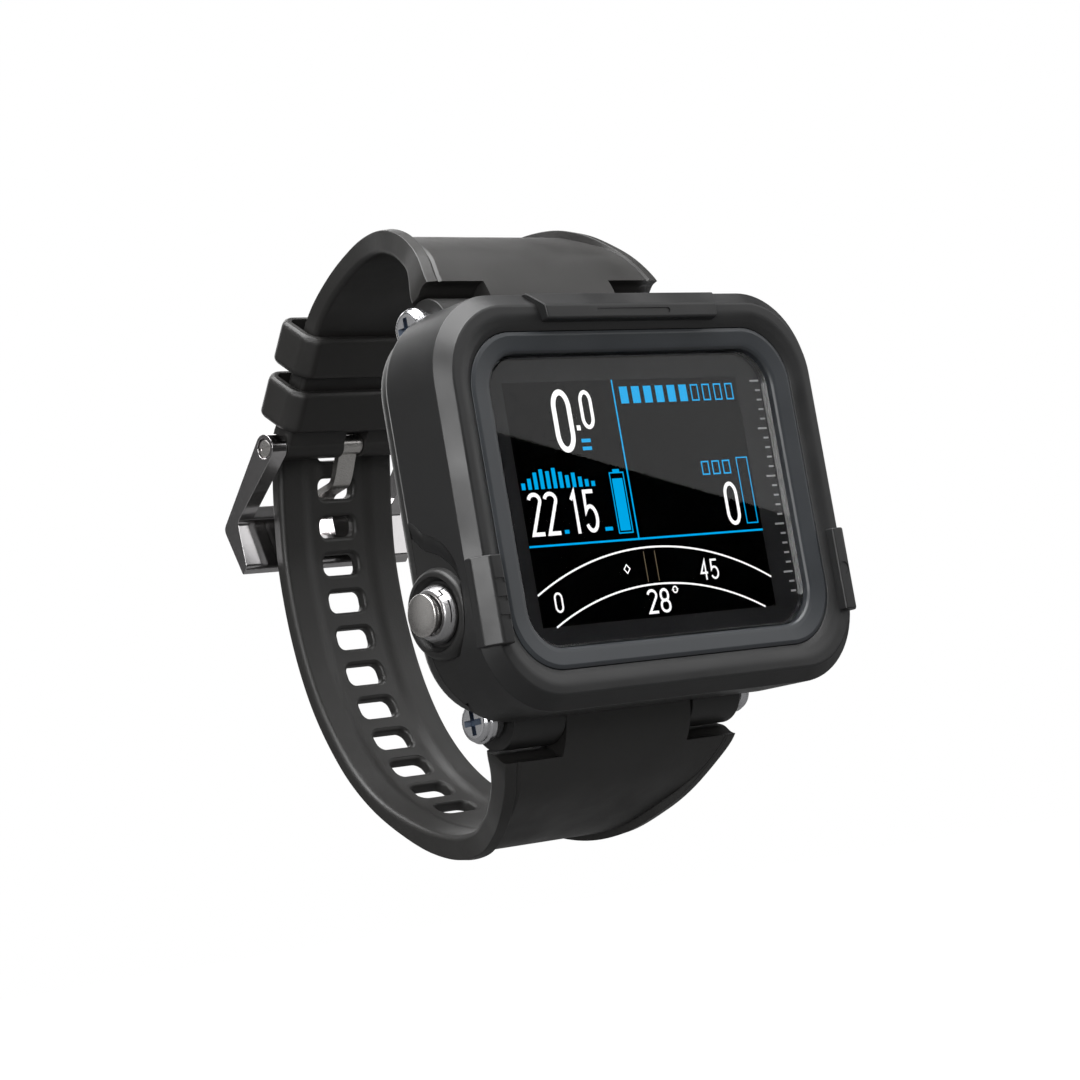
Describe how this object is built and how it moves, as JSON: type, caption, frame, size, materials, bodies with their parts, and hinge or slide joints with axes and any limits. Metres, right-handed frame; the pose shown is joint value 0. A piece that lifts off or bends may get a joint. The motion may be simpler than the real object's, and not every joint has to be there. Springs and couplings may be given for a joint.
{
  "type": "dive computer",
  "caption": "Wrist-worn dive computer: a landscape display case with rubber bumper, push buttons on both sides and a buckled silicone strap with keepers.",
  "frame": {"origin": "centre of the flat case back, which lies against the wrist", "axes": "+Y out of the case back towards the wrist, so the display faces -Y; +Z towards the display's top edge; +X to the right of the display as the wearer reads it"},
  "size_m": [0.0766, 0.0799, 0.0909],
  "materials": {
    "case_plastic": "satin moulded",
    "bumper_rubber": "matte",
    "bezel_grey": "satin",
    "glass_clear": "clear, coated",
    "lcd_black": "gloss",
    "strap_silicone": "fine matte grain",
    "steel_satin": "satin",
    "steel_polished": "polished",
    "screw_nickel": "bright",
    "spring_steel": "drawn",
    "seal_rubber": "matte",
    "chassis_plastic": "matte",
    "pcb_green": "solder mask",
    "battery_wrap": "film",
    "copper": "enamelled wire",
    "ferrite": "sintered",
    "flex_amber": "film"
  },
  "bodies": {
    "case": {"rear_case": "case_plastic", "bumper": "bumper_rubber", "bezel_ring": "bezel_grey", "lens_glass": "glass_clear", "lens_gasket": "seal_rubber", "lcd_module": "lcd_black", "case_seal": "seal_rubber", "chassis": "chassis_plastic", "chassis_screw_1": "screw_nickel", "chassis_screw_2": "screw_nickel", "chassis_screw_3": "screw_nickel", "chassis_screw_4": "screw_nickel", "main_pcb": "pcb_green", "battery": "battery_wrap", "charging_coil": "copper", "vibration_motor": "steel_satin", "buzzer": "ferrite", "antenna_rod": "ferrite", "depth_sensor": "steel_satin", "sensor_seal": "seal_rubber", "sensor_cover": "case_plastic", "display_flex": "flex_amber", "menu_button_collar": "steel_satin", "menu_button_seal": "seal_rubber", "menu_button_switch": "chassis_plastic", "select_button_collar": "steel_satin", "select_button_seal": "seal_rubber", "select_button_switch": "chassis_plastic", "strap_buckle_side": "strap_silicone", "strap_hole_side": "strap_silicone", "lug_pin_upper": "steel_satin", "lug_pin_lower": "steel_satin", "lug_screw_upper_left": "screw_nickel", "lug_screw_upper_right": "screw_nickel", "lug_screw_lower_left": "screw_nickel", "lug_screw_lower_right": "screw_nickel", "keeper_fixed": "strap_silicone", "buckle_pin": "steel_satin", "buckle_pin_screw": "steel_satin"},
    "menu_press": {"menu_button_cap": "steel_satin", "menu_button_clip": "spring_steel", "menu_button_spring": "spring_steel"},
    "select_press": {"select_button_cap": "steel_satin", "select_button_clip": "spring_steel", "select_button_spring": "spring_steel"},
    "buckle_swing": {"buckle_frame": "steel_polished"},
    "tongue": {"buckle_tongue": "steel_satin"},
    "free_keeper": {"keeper_free": "strap_silicone"}
  },
  "joints": [
    {"name": "menu_button_press", "type": "slide", "parent": "case", "child": "menu_press", "axis": [1, 0, 0], "range_m": [0, 0.0006], "stiffness_N_per_m": 2500, "springref_m": -0.0006, "deforming": ["menu_button_spring"]},
    {"name": "select_button_press", "type": "slide", "parent": "case", "child": "select_press", "axis": [-1, 0, 0], "range_m": [0, 0.0006], "stiffness_N_per_m": 2500, "springref_m": -0.0006, "deforming": ["select_button_spring"]},
    {"name": "buckle_frame_hinge", "type": "hinge", "parent": "case", "child": "buckle_swing", "pos_m": [0, 0.0408, 0.0208], "axis": [1, 0, 0], "range_deg": [0, 80]},
    {"name": "buckle_tongue_hinge", "type": "hinge", "parent": "case", "child": "tongue", "pos_m": [0, 0.0408, 0.0208], "axis": [1, 0, 0], "range_deg": [-2, 2]},
    {"name": "free_keeper_slide", "type": "slide", "parent": "case", "child": "free_keeper", "axis": [0, -0.6, 0.8], "range_m": [-0.0018, 0.0006]}
  ]
}
